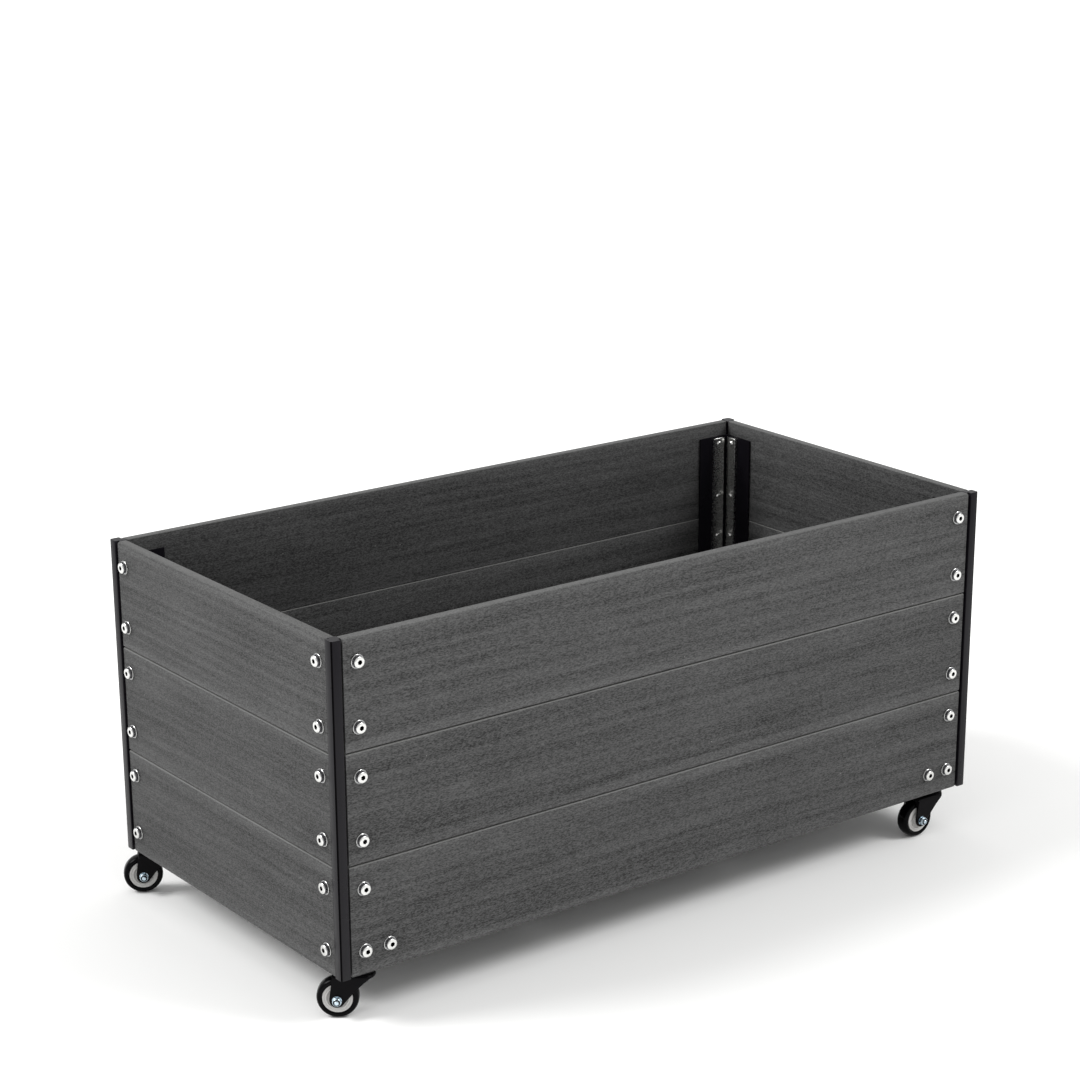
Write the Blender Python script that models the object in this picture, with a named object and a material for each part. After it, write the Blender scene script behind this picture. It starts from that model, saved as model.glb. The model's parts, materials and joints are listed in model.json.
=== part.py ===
"""Rolling planter box: composite planks bolted to four corner posts, on swivel casters.

Metres, +Z up. The floor is z = 0, +X runs along the long side and the front side faces -Y.
"""

import math

import bmesh
import bpy
from mathutils import Matrix, Vector

# Overall sizes, over the outer faces of the corner posts
LENGTH = 1.000
WIDTH = 0.500
BOX_HEIGHT = 0.410
CASTER_HEIGHT = 0.062
RIM = CASTER_HEIGHT + BOX_HEIGHT

GAP = 0.0003  # between pieces that touch

# Planks, three to a side
PLANKS = ("bottom", "middle", "top")
PLANK_PITCH = BOX_HEIGHT / len(PLANKS)
PLANK_THICK = 0.0125
PLANK_SETBACK = 0.002  # planks stand this far behind the post's nose
PLANK_START = 0.0162  # from the box's outer corner to the plank's end
PLANK_CHAMFER = 0.0012
SEAM_HEIGHT, SEAM_DEPTH = 0.0018, 0.003  # rebate under each upper plank, which shades the seam
RIM_ROUND = 0.003
ROUND_STEPS = 3

# Corner posts: a square nose outside, and two legs behind the planks
NOSE = 0.013
NOSE_GROOVE = 0.0015  # square groove down the nose's outer edge
NECK_FROM = 0.006
NECK_TO = PLANK_START - GAP
LEG_FROM = PLANK_SETBACK + PLANK_THICK + GAP
LEG_THICK = 0.0025
LEG_REACH = 0.066  # from the outer corner to the leg's free edge
LEG_BELOW_RIM = 0.019
LEG_ABOVE_BOTTOM = 0.055

# Bolts: two through each plank end, and one more beside the lowest on the long sides
BOLT_EDGE = 0.0296  # from a plank's edge to its bolt
BOLT_IN_LONG = 0.0346  # from the outer corner to the column of bolts
BOLT_IN_SHORT = 0.0309
BOLT_EXTRA = 0.0338  # from the column to the extra bolt
BOLT_SIDES = 10
WASHER_RADIUS, WASHER_THICK = 0.0085, 0.0015
HEAD_RADIUS, HEAD_HEIGHT, HEAD_ROUND = 0.0068, 0.0045, 0.0014
SHANK_RADIUS, HOLE_RADIUS = 0.0040, 0.0045
STRIP_FROM = LEG_FROM + LEG_THICK + GAP
STRIP_THICK, STRIP_WIDTH = 0.004, 0.018
SHANK_END = STRIP_FROM + STRIP_THICK / 2

# Corner pans, ledger rails and floor panels at the bottom of the box
PAN_REACH_X, PAN_REACH_Y, FLANGE_REACH = 0.066, 0.060, 0.052
PAN_THICK = 0.0025
RAIL_START = 0.055
RAIL_HEIGHT, RAIL_SHELF, RAIL_THICK = 0.040, 0.045, 0.0025
RAIL_LIFT = PAN_THICK + GAP
FLOOR_PANELS = 3
FLOOR_THICK = 0.012
FLOOR_MARGIN = 0.026  # from the outer face to the floor's edge
FLOOR_SPLIT = 0.006  # drainage gap between two panels

# Casters, with heights measured down from the underside of the box
SWIVEL_IN_X, SWIVEL_IN_Y = 0.042, 0.021  # from the outer corner to the swivel's axis
TRAIL = 0.029  # from the swivel's axis to the axle
WHEEL_RADIUS = 0.025
AXLE_DROP = CASTER_HEIGHT - WHEEL_RADIUS
TRAIL_ANGLE = {"front_left": 142, "back_left": 153, "front_right": 180, "back_right": 160}
PLATE_RADIUS, PLATE_THICK = 0.0155, 0.0025
RACE_INNER, RACE_OUTER = 0.0093, 0.0150
BOSS_RADIUS, KINGPIN_RADIUS, RIVET_RADIUS = 0.009, 0.004, 0.0065
CROWN_TOP, SHEET, FORK_WIDTH, FORK_BEND = 0.0065, 0.002, 0.028, 0.003
RIVET_END = 0.0115
FORK_FRONT, FORK_BACK = 0.0155, 0.034
FORK_LIP = 0.003  # depth of the fork's rim ahead of the swivel's axis
EYE_RADIUS = 0.009  # the round foot of the fork at the axle
AXLE_RADIUS, AXLE_HOLE = 0.003, 0.0034
NUT_RADIUS, NUT_HEIGHT, AXLE_STUB = 0.0058, 0.0058, 0.0018
TYRE_SIDES, HUB_SIDES, PLATE_SIDES = 28, 16, 24

CORNERS = {
    "front_left": (-1, -1),
    "front_right": (1, -1),
    "back_left": (-1, 1),
    "back_right": (1, 1),
}
# Each side: its turn about Z, its distance from the centre and its length
SIDES = {
    "front": (0, WIDTH / 2, LENGTH),
    "right": (90, LENGTH / 2, WIDTH),
    "back": (180, WIDTH / 2, LENGTH),
    "left": (270, LENGTH / 2, WIDTH),
}
BOLT_HEIGHTS = [
    CASTER_HEIGHT + row * PLANK_PITCH + offset
    for row in range(len(PLANKS))
    for offset in (BOLT_EDGE, PLANK_PITCH - BOLT_EDGE)
]


def clear_scene():
    for obj in list(bpy.data.objects):
        bpy.data.objects.remove(obj, do_unlink=True)


def make_material(name, colour, roughness, metallic=0.0):
    material = bpy.data.materials.new(name)
    material.use_nodes = True
    shader = material.node_tree.nodes["Principled BSDF"]
    shader.inputs["Base Color"].default_value = (*colour, 1.0)
    shader.inputs["Roughness"].default_value = roughness
    shader.inputs["Metallic"].default_value = metallic
    material.diffuse_color = (*colour, 1.0)
    return material


def add_empty(name, location=(0, 0, 0), turn=0.0, parent=None):
    empty = bpy.data.objects.new(name, None)
    empty.location = location
    empty.rotation_euler.z = math.radians(turn)
    empty.parent = parent
    bpy.context.scene.collection.objects.link(empty)
    return empty


def add_piece(name, shape, material, parent=None):
    """Turns a bmesh into a named object, with its faces pointing out."""
    bmesh.ops.recalc_face_normals(shape, faces=shape.faces)
    mesh = bpy.data.meshes.new(name)
    shape.to_mesh(mesh)
    shape.free()
    if material:
        mesh.materials.append(material)
    piece = bpy.data.objects.new(name, mesh)
    piece.parent = parent
    bpy.context.scene.collection.objects.link(piece)
    return piece


def add_helper(name, shape, parent=None):
    helper = add_piece(name, shape, None, parent)
    helper.hide_render = True
    helper.display_type = "WIRE"
    return helper


def boolean(piece, helper, operation):
    modifier = piece.modifiers.new(helper.name, "BOOLEAN")
    modifier.object = helper
    modifier.operation = operation
    modifier.solver = "EXACT"


def prism(shape, outline, low, high, to_space):
    """Adds an outline extruded from low to high; to_space(a, b, c) gives a point in space."""
    bottom = [shape.verts.new(to_space(a, b, low)) for a, b in outline]
    top = [shape.verts.new(to_space(a, b, high)) for a, b in outline]
    shape.faces.new(bottom[::-1])
    shape.faces.new(top)
    for i in range(len(outline)):
        j = (i + 1) % len(outline)
        shape.faces.new((bottom[i], bottom[j], top[j], top[i]))


def rectangle(a_low, a_high, b_low, b_high):
    return [(a_low, b_low), (a_high, b_low), (a_high, b_high), (a_low, b_high)]


def arc(a, b, radius, start, end, steps):
    """Points along an arc about (a, b), from start to end in degrees."""
    turns = [math.radians(start + (end - start) * i / steps) for i in range(steps + 1)]
    return [(a + radius * math.cos(t), b + radius * math.sin(t)) for t in turns]


def lathe(shape, profile, sides, place=Matrix.Identity(4), closed=False):
    """Spins (radius, height) points about Z, then moves them by place. An open profile ends on the axis."""
    rings = []
    for radius, height in profile:
        if radius == 0:
            rings.append([shape.verts.new(place @ Vector((0, 0, height)))] * sides)
            continue
        turns = [2 * math.pi * (i + 0.5) / sides for i in range(sides)]
        points = [Vector((radius * math.cos(t), radius * math.sin(t), height)) for t in turns]
        rings.append([shape.verts.new(place @ point) for point in points])
    pairs = list(zip(rings, rings[1:] + rings[:1])) if closed else list(zip(rings, rings[1:]))
    for lower, upper in pairs:
        for i in range(sides):
            j = (i + 1) % sides
            corners = (lower[i], lower[j], upper[j], upper[i])
            shape.faces.new([v for n, v in enumerate(corners) if v not in corners[:n]])


def cylinders(centres, radius, low, high, sides, along):
    """A bmesh of separate closed cylinders; along turns the Z axis to the direction they run in."""
    shape = bmesh.new()
    for centre in centres:
        place = Matrix.Translation(centre) @ along
        lathe(shape, [(0, low), (radius, low), (radius, high), (0, high)], sides, place)
    return shape


ALONG_Y = Matrix.Rotation(math.radians(-90), 4, "X")
UPRIGHT = Matrix.Identity(4)


# Box ---------------------------------------------------------------------------------------


def plank_outline(row):
    """Section of a plank: b is depth from the post's outer plane, a is height."""
    outer, inner = PLANK_SETBACK, PLANK_SETBACK + PLANK_THICK
    height = PLANK_PITCH - GAP
    cut = PLANK_CHAMFER
    if row == "bottom":
        section = [(0, inner), (0, outer + cut), (cut, outer)]
    else:
        section = [(0, inner), (0, outer + SEAM_DEPTH), (SEAM_HEIGHT, outer + SEAM_DEPTH), (SEAM_HEIGHT, outer)]
    if row == "top":
        section += arc(height - RIM_ROUND, outer + RIM_ROUND, RIM_ROUND, -90, 0, ROUND_STEPS)
        section += [(height, inner - cut), (height - cut, inner)]
    else:
        section += [(height - cut, outer), (height, outer + cut), (height, inner)]
    return section


def bolt_spots(side_name, with_extra):
    """Bolt centres of both columns of a side, as (x, z) in the side's own frame."""
    length = SIDES[side_name][2]
    is_long = length == LENGTH
    column_x = length / 2 - (BOLT_IN_LONG if is_long else BOLT_IN_SHORT)
    spots = {end: [(sign * column_x, z) for z in BOLT_HEIGHTS] for end, sign in (("left", -1), ("right", 1))}
    if is_long and with_extra:
        for end, sign in (("left", -1), ("right", 1)):
            spots[end].append((sign * (column_x - BOLT_EXTRA), BOLT_HEIGHTS[0]))
    return spots


def hole_cutter(name, spots, depth_low, depth_high, parent):
    centres = [Vector((x, 0, z)) for x, z in spots]
    return add_helper(name, cylinders(centres, HOLE_RADIUS, depth_low, depth_high, BOLT_SIDES, ALONG_Y), parent)


def add_planks(side_name, frame, composite):
    half = SIDES[side_name][2] / 2 - PLANK_START
    spots = sum(bolt_spots(side_name, with_extra=True).values(), [])
    for row, row_name in enumerate(PLANKS):
        low = CASTER_HEIGHT + row * PLANK_PITCH + GAP / 2
        shape = bmesh.new()
        outline = plank_outline(row_name)
        prism(shape, outline, -half, half, lambda a, b, c: Vector((c, b, low + a)))
        plank = add_piece(f"{side_name}_plank_{row_name}", shape, composite, frame)
        own = [(x, z) for x, z in spots if low < z < low + PLANK_PITCH]
        cutter = hole_cutter(f"holes_{plank.name}", own, -GAP, LEG_FROM + LEG_THICK, frame)
        boolean(plank, cutter, "DIFFERENCE")


def bolt_profile():
    """Half outline of a bolt with its washer, from the head's face to the shank's end."""
    face = PLANK_SETBACK - GAP
    under_head = face - WASHER_THICK
    top = under_head - HEAD_HEIGHT
    return [
        (0, top), (HEAD_RADIUS - HEAD_ROUND, top), (HEAD_RADIUS, top + HEAD_ROUND),
        (HEAD_RADIUS, under_head), (WASHER_RADIUS, under_head), (WASHER_RADIUS, face),
        (SHANK_RADIUS, face), (SHANK_RADIUS, SHANK_END), (0, SHANK_END),
    ]


def add_bolt_columns(side_name, frame, zinc):
    """One piece for each column: its bolts, joined behind the planks by the strip they screw into."""
    for end, spots in bolt_spots(side_name, with_extra=True).items():
        name = f"{side_name}_bolts_{end}"
        x, heights = spots[0][0], [z for _, z in spots]
        half = STRIP_WIDTH / 2
        strip = bmesh.new()
        outline = rectangle(x - half, x + half, min(heights) - half, max(heights) + half)
        if len(spots) > len(BOLT_HEIGHTS):
            inner = spots[-1][0] - math.copysign(half, x)
            outer = x + math.copysign(half, x)
            step = x - math.copysign(half, x)
            foot, knee, top = heights[0] - half, heights[0] + half, max(heights) + half
            outline = [(outer, foot), (inner, foot), (inner, knee), (step, knee), (step, top), (outer, top)]
        prism(strip, outline, STRIP_FROM, STRIP_FROM + STRIP_THICK, lambda a, b, c: Vector((a, c, b)))
        column = add_piece(name, strip, zinc, frame)
        bolts = bmesh.new()
        for bolt_x, z in spots:
            lathe(bolts, bolt_profile(), BOLT_SIDES, Matrix.Translation((bolt_x, 0, z)) @ ALONG_Y)
        boolean(column, add_helper(f"set_{name}", bolts, frame), "UNION")


def corner_space(corner):
    """Maps distances (a, b) in from an outer corner, and a height, to a point in space."""
    sign_x, sign_y = CORNERS[corner]
    return lambda a, b, c: Vector((sign_x * (LENGTH / 2 - a), sign_y * (WIDTH / 2 - b), c))


def corner_cutter(name, corner, heights):
    """Cylinders through both legs or flanges of a corner, at the given bolt heights."""
    to_space = corner_space(corner)
    through_long = [to_space(BOLT_IN_LONG, 0, z) for z in heights]
    through_short = [to_space(0, BOLT_IN_SHORT, z) for z in heights]
    depth = STRIP_FROM + STRIP_THICK
    along_x = Matrix.Rotation(math.radians(90), 4, "Y")
    shape = cylinders(through_long, HOLE_RADIUS, -depth, depth, BOLT_SIDES, ALONG_Y)
    for centre in through_short:
        profile = [(0, -depth), (HOLE_RADIUS, -depth), (HOLE_RADIUS, depth), (0, depth)]
        lathe(shape, profile, BOLT_SIDES, Matrix.Translation(centre) @ along_x)
    return add_helper(name, shape)


def angle_outline(inner, thick, reach_x, reach_y):
    """An L of the given thickness, with its heel towards the corner."""
    outer = inner + thick
    return [
        (inner, inner), (reach_x, inner), (reach_x, outer),
        (outer, outer), (outer, reach_y), (inner, reach_y),
    ]


def add_post(corner, anthracite):
    to_space = corner_space(corner)
    nose = bmesh.new()
    cut = NOSE_GROOVE
    outline = [
        (cut, 0), (NOSE, 0), (NOSE, NECK_FROM), (NECK_TO, NECK_FROM), (NECK_TO, NECK_TO),
        (NECK_FROM, NECK_TO), (NECK_FROM, NOSE), (0, NOSE), (0, cut), (cut, cut),
    ]
    prism(nose, outline, CASTER_HEIGHT, RIM, to_space)
    post = add_piece(f"post_{corner}", nose, anthracite)
    legs = bmesh.new()
    outline = angle_outline(LEG_FROM, LEG_THICK, LEG_REACH, LEG_REACH)
    prism(legs, outline, CASTER_HEIGHT + LEG_ABOVE_BOTTOM, RIM - LEG_BELOW_RIM, to_space)
    boolean(post, add_helper(f"legs_{corner}", legs), "UNION")
    boolean(post, corner_cutter(f"post_holes_{corner}", corner, BOLT_HEIGHTS[1:]), "DIFFERENCE")


def add_pan(corner, steel):
    """Corner pan: a plate with two upturned flanges, which ties both planks to the caster."""
    to_space = corner_space(corner)
    start = NECK_TO + GAP
    plate = bmesh.new()
    outline = rectangle(start, PAN_REACH_X, start, PAN_REACH_Y)
    prism(plate, outline, CASTER_HEIGHT, CASTER_HEIGHT + PAN_THICK, to_space)
    pan = add_piece(f"pan_{corner}", plate, steel)
    flanges = bmesh.new()
    inner, outer = LEG_FROM, LEG_FROM + PAN_THICK
    outline = [
        (start, inner), (FLANGE_REACH, inner), (FLANGE_REACH, outer), (outer, outer),
        (outer, FLANGE_REACH), (inner, FLANGE_REACH), (inner, start), (start, start),
    ]
    prism(flanges, outline, CASTER_HEIGHT, CASTER_HEIGHT + LEG_ABOVE_BOTTOM - GAP, to_space)
    boolean(pan, add_helper(f"flanges_{corner}", flanges), "UNION")
    boolean(pan, corner_cutter(f"pan_holes_{corner}", corner, BOLT_HEIGHTS[:1]), "DIFFERENCE")


def add_rail(side_name, frame, steel):
    """Ledger rail: an angle along the foot of a long side, which carries the floor."""
    low, near = CASTER_HEIGHT + RAIL_LIFT, LEG_FROM
    half = SIDES[side_name][2] / 2 - RAIL_START
    outline = [
        (near, low), (RAIL_SHELF, low), (RAIL_SHELF, low + RAIL_THICK),
        (near + RAIL_THICK, low + RAIL_THICK), (near + RAIL_THICK, low + RAIL_HEIGHT),
        (near, low + RAIL_HEIGHT),
    ]
    shape = bmesh.new()
    prism(shape, outline, -half, half, lambda a, b, c: Vector((c, a, b)))
    rail = add_piece(f"{side_name}_rail", shape, steel, frame)
    extras = [spots[-1] for spots in bolt_spots(side_name, with_extra=True).values()]
    boolean(rail, hole_cutter(f"holes_{rail.name}", extras, 0, STRIP_FROM + STRIP_THICK, frame), "DIFFERENCE")


def add_floor(composite):
    span = LENGTH - 2 * FLOOR_MARGIN
    panel_length = (span - (FLOOR_PANELS - 1) * FLOOR_SPLIT) / FLOOR_PANELS
    half_width = WIDTH / 2 - FLOOR_MARGIN
    low = CASTER_HEIGHT + RAIL_LIFT + RAIL_THICK + GAP
    for i in range(FLOOR_PANELS):
        start = -span / 2 + i * (panel_length + FLOOR_SPLIT)
        shape = bmesh.new()
        outline = rectangle(start, start + panel_length, -half_width, half_width)
        prism(shape, outline, low, low + FLOOR_THICK, lambda a, b, c: Vector((a, b, c)))
        add_piece(f"floor_panel_{i + 1}", shape, composite)


# Casters -----------------------------------------------------------------------------------


def add_caster_plate(corner, mount, steel):
    """Round top plate, welded under the pan, with the riveted kingpin that the fork swivels on."""
    under = -GAP - PLATE_THICK
    crown_under = CROWN_TOP + SHEET + GAP
    profile = [
        (0, -GAP), (PLATE_RADIUS, -GAP), (PLATE_RADIUS, under),
        (BOSS_RADIUS, under), (BOSS_RADIUS, -CROWN_TOP + GAP),
        (KINGPIN_RADIUS, -CROWN_TOP + GAP), (KINGPIN_RADIUS, -crown_under),
        (RIVET_RADIUS, -crown_under), (RIVET_RADIUS, -RIVET_END), (0, -RIVET_END),
    ]
    shape = bmesh.new()
    lathe(shape, profile, PLATE_SIDES)
    add_piece(f"caster_plate_{corner}", shape, steel, mount)


def add_race(corner, mount, steel):
    low, high = -CROWN_TOP + GAP, -2 * GAP - PLATE_THICK
    profile = [(RACE_INNER, low), (RACE_OUTER, low), (RACE_OUTER, high), (RACE_INNER, high)]
    shape = bmesh.new()
    lathe(shape, profile, HUB_SIDES, closed=True)
    add_piece(f"swivel_race_{corner}", shape, steel, mount)


def fork_channel():
    """Section of the folded sheet across the fork: b is height, a is width."""
    half, bend, thick = FORK_WIDTH / 2, FORK_BEND, SHEET
    foot = -AXLE_DROP - 2 * EYE_RADIUS
    outside = arc(half - bend, -CROWN_TOP - bend, bend, 0, 90, 2)
    outside += arc(-half + bend, -CROWN_TOP - bend, bend, 90, 180, 2)
    inside = arc(-half + bend, -CROWN_TOP - bend, bend - thick, 180, 90, 2)
    inside += arc(half - bend, -CROWN_TOP - bend, bend - thick, 90, 0, 2)
    return [(half, foot), *outside, (-half, foot), (-half + thick, foot), *inside, (half - thick, foot)]


def fork_side():
    """Side view of the fork: a is towards the wheel, b is height."""
    lip = -CROWN_TOP - FORK_LIP
    eye = arc(TRAIL, -AXLE_DROP, EYE_RADIUS, 10, -150, 8)
    return [
        (-FORK_FRONT, -CROWN_TOP + GAP), (FORK_BACK, -CROWN_TOP + GAP),
        *eye, (0.0105, -0.0285), (0.0014, -0.0190), (-0.0095, lip), (-FORK_FRONT, lip),
    ]


def add_fork(corner, swivel, steel):
    shape = bmesh.new()
    channel = fork_channel()
    prism(shape, channel, -FORK_FRONT - 0.001, FORK_BACK + 2 * EYE_RADIUS, lambda a, b, c: Vector((c, a, b)))
    fork = add_piece(f"caster_fork_{corner}", shape, steel, swivel)
    side = bmesh.new()
    prism(side, fork_side(), -FORK_WIDTH, FORK_WIDTH, lambda a, b, c: Vector((a, c, b)))
    boolean(fork, add_helper(f"fork_side_{corner}", side, swivel), "INTERSECT")
    pin_hole = KINGPIN_RADIUS + GAP
    holes = cylinders([Vector((0, 0, -CROWN_TOP - SHEET))], pin_hole, -SHEET, 2 * SHEET, HUB_SIDES, UPRIGHT)
    profile = [(0, -FORK_WIDTH), (AXLE_HOLE, -FORK_WIDTH), (AXLE_HOLE, FORK_WIDTH), (0, FORK_WIDTH)]
    lathe(holes, profile, BOLT_SIDES, Matrix.Translation((TRAIL, 0, -AXLE_DROP)) @ ALONG_Y)
    boolean(fork, add_helper(f"fork_holes_{corner}", holes, swivel), "DIFFERENCE")


def add_axle(corner, wheel, zinc):
    """Axle bolt through the fork, with its hex head on one side and the lock nut on the other."""
    seat = FORK_WIDTH / 2 + GAP
    end = seat + NUT_HEIGHT + AXLE_STUB
    shape = bmesh.new()
    profile = [(0, -seat - NUT_HEIGHT / 2), (AXLE_RADIUS, -seat - NUT_HEIGHT / 2), (AXLE_RADIUS, end), (0, end)]
    lathe(shape, profile, BOLT_SIDES, ALONG_Y)
    axle = add_piece(f"axle_bolt_{corner}", shape, zinc, wheel)
    ends = bmesh.new()
    for low, high in ((-seat - NUT_HEIGHT * 0.7, -seat), (seat, seat + NUT_HEIGHT)):
        lathe(ends, [(0, low), (NUT_RADIUS, low), (NUT_RADIUS, high), (0, high)], 6, ALONG_Y)
    boolean(axle, add_helper(f"axle_ends_{corner}", ends, wheel), "UNION")


def add_wheel(corner, wheel, plastic, rubber):
    hub = [
        (0.0034, -0.0112), (0.0070, -0.0112), (0.0075, -0.0055), (0.0115, -0.0055),
        (0.0125, -0.0080), (0.0178, -0.0080),
    ]
    hub += [(radius, -height) for radius, height in reversed(hub)]
    shape = bmesh.new()
    lathe(shape, hub, HUB_SIDES, ALONG_Y, closed=True)
    add_piece(f"wheel_hub_{corner}", shape, plastic, wheel)
    tread = WHEEL_RADIUS
    flat = 1 / math.cos(math.pi / TYRE_SIDES)  # the lowest facet, not its corners, sits at the radius
    tyre = [(0.0181, -0.0082), (0.0205, -0.0090), (tread - 0.0016, -0.0082), (tread, -0.0050)]
    tyre += [(radius, -height) for radius, height in reversed(tyre)]
    shape = bmesh.new()
    lathe(shape, [(radius * flat, height) for radius, height in tyre], TYRE_SIDES, ALONG_Y, closed=True)
    add_piece(f"tyre_{corner}", shape, rubber, wheel)


def add_caster(corner, steel, zinc, plastic, rubber):
    place = corner_space(corner)(SWIVEL_IN_X, SWIVEL_IN_Y, CASTER_HEIGHT)
    mount = add_empty(f"mount_{corner}", place)
    swivel = add_empty(f"swivel_{corner}", place, TRAIL_ANGLE[corner])
    wheel = add_empty(f"wheel_{corner}", (TRAIL, 0, -AXLE_DROP), parent=swivel)
    add_caster_plate(corner, mount, steel)
    add_race(corner, mount, zinc)
    add_fork(corner, swivel, steel)
    add_axle(corner, wheel, zinc)
    add_wheel(corner, wheel, plastic, rubber)


def main():
    clear_scene()
    composite = make_material("wood_plastic_composite", (0.075, 0.075, 0.073), 0.75)
    floor_board = make_material("floor_composite", (0.060, 0.060, 0.058), 0.8)
    anthracite = make_material("anthracite_aluminium", (0.035, 0.034, 0.042), 0.45, 0.3)
    steel = make_material("black_steel", (0.012, 0.012, 0.014), 0.4, 0.2)
    zinc = make_material("bright_zinc", (0.75, 0.75, 0.74), 0.25, 1.0)
    plastic = make_material("grey_plastic", (0.55, 0.54, 0.52), 0.4)
    rubber = make_material("black_tyre", (0.015, 0.015, 0.016), 0.5)

    for side_name, (turn, distance, _) in SIDES.items():
        outward = Matrix.Rotation(math.radians(turn), 4, "Z") @ Vector((0, -distance, 0))
        frame = add_empty(f"side_{side_name}", outward, turn)
        add_planks(side_name, frame, composite)
        add_bolt_columns(side_name, frame, zinc)
        if side_name in ("front", "back"):
            add_rail(side_name, frame, steel)
    add_floor(floor_board)
    for corner in CORNERS:
        add_post(corner, anthracite)
        add_pan(corner, steel)
        add_caster(corner, steel, zinc, plastic, rubber)


main()
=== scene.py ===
import json
import math
import random

import bmesh
import bpy
from mathutils import Matrix, Vector


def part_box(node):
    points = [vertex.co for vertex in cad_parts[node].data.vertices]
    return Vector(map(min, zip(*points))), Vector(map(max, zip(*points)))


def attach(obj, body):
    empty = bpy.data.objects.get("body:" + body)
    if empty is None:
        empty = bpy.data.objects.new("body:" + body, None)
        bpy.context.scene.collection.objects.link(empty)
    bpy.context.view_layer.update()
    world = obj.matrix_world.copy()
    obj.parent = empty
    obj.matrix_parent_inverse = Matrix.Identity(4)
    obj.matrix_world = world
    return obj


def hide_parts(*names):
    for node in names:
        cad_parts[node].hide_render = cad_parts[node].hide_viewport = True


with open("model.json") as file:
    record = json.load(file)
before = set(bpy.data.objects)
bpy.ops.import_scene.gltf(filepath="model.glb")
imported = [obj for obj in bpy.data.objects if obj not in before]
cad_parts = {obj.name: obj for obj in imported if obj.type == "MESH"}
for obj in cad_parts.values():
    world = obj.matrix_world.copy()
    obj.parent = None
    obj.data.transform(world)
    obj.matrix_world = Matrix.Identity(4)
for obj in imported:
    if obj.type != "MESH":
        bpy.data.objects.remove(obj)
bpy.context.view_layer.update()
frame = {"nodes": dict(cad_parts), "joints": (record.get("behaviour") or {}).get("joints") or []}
joints = {joint["name"]: joint for joint in frame["joints"]}

sides = {  # direction along each side's boards, and the way the side faces
    "front": (Vector((1, 0, 0)), Vector((0, -1, 0))),
    "right": (Vector((0, 1, 0)), Vector((1, 0, 0))),
    "back": (Vector((-1, 0, 0)), Vector((0, 1, 0))),
    "left": (Vector((0, -1, 0)), Vector((-1, 0, 0))),
}
corners = {"front_left": (-1, -1), "front_right": (1, -1), "back_left": (-1, 1), "back_right": (1, 1)}
rows = ("bottom", "middle", "top")


# small helpers

def linearColour(code):  # sRGB hex to linear RGBA
    parts = [int(code[i:i + 2], 16) / 255 for i in (0, 2, 4)]
    return tuple(p / 12.92 if p <= 0.04045 else ((p + 0.055) / 1.055) ** 2.4 for p in parts) + (1.0,)


def addNode(tree, kind, settings=None, inputs=None):  # a node given as an input stands for its first output
    node = tree.nodes.new(kind)
    for name, value in (settings or {}).items():
        setattr(node, name, value)
    for name, value in (inputs or {}).items():
        if isinstance(value, bpy.types.Node):
            value = value.outputs[0]
        if isinstance(value, bpy.types.NodeSocket):
            tree.links.new(value, node.inputs[name])
        else:
            node.inputs[name].default_value = value
    return node


def camelName(*words):
    parts = "_".join(words).split("_")
    return parts[0] + "".join(part.capitalize() for part in parts[1:])


def arcPoints(a, b, radius, start, end, steps):
    turns = [math.radians(start + (end - start) * i / steps) for i in range(steps + 1)]
    return [(a + radius * math.cos(t), b + radius * math.sin(t)) for t in turns]


def roundedPolygon(points, radii, steps=4):  # rounds each corner of a flat outline by its own radius
    outline = []
    for i, point in enumerate(points):
        here = Vector(point)
        before = Vector(points[i - 1]) - here
        after = Vector(points[(i + 1) % len(points)]) - here
        radius = radii[i] if isinstance(radii, (list, tuple)) else radii
        if radius <= 0:
            outline.append(tuple(here))
            continue
        half = before.angle(after) / 2
        reach = radius / math.tan(half)
        centre = here + (before.normalized() + after.normalized()).normalized() * radius / math.sin(half)
        start = here + before.normalized() * reach - centre
        end = here + after.normalized() * reach - centre
        for step in range(steps + 1):
            spoke = start.lerp(end, step / steps)
            outline.append(tuple(centre + spoke.normalized() * radius))
    return outline


def extrudeOutline(shape, outline, levels, toSpace):  # levels are (height, inset) pairs, low to high
    middle = Vector((sum(p[0] for p in outline), sum(p[1] for p in outline))) / len(outline)
    spread = [max(abs(p[i] - middle[i]) for p in outline) for i in (0, 1)]
    rings = []
    for height, inset in levels:
        scale = [1 - inset / spread[i] for i in (0, 1)]
        ring = [[middle[i] + (p[i] - middle[i]) * scale[i] for i in (0, 1)] for p in outline]
        rings.append([shape.verts.new(toSpace(a, b, height)) for a, b in ring])
    for lower, upper in zip(rings, rings[1:]):
        for i in range(len(outline)):
            j = (i + 1) % len(outline)
            shape.faces.new((lower[i], lower[j], upper[j], upper[i]))
    shape.faces.new(rings[0][::-1])
    shape.faces.new(rings[-1])


def latheProfile(shape, profile, segments, place=Matrix.Identity(4), closed=False):
    # profile points are (radius, height) or (radius, height, 6), where the 6 makes that ring a hexagon
    rings = []
    for point in profile:
        radius, height = point[:2]
        if radius == 0:
            rings.append([shape.verts.new(place @ Vector((0, 0, height)))] * segments)
            continue
        ring = []
        for i in range(segments):
            turn = 2 * math.pi * i / segments
            reach = radius
            if len(point) > 2:
                reach = radius * math.cos(math.pi / 6) / math.cos(turn % (math.pi / 3) - math.pi / 6)
            ring.append(shape.verts.new(place @ Vector((reach * math.cos(turn), reach * math.sin(turn), height))))
        rings.append(ring)
    pairs = list(zip(rings, rings[1:] + rings[:1])) if closed else list(zip(rings, rings[1:]))
    for lower, upper in pairs:
        for i in range(segments):
            j = (i + 1) % segments
            around = (lower[i], lower[j], upper[j], upper[i])
            shape.faces.new([v for n, v in enumerate(around) if v not in around[:n]])


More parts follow.
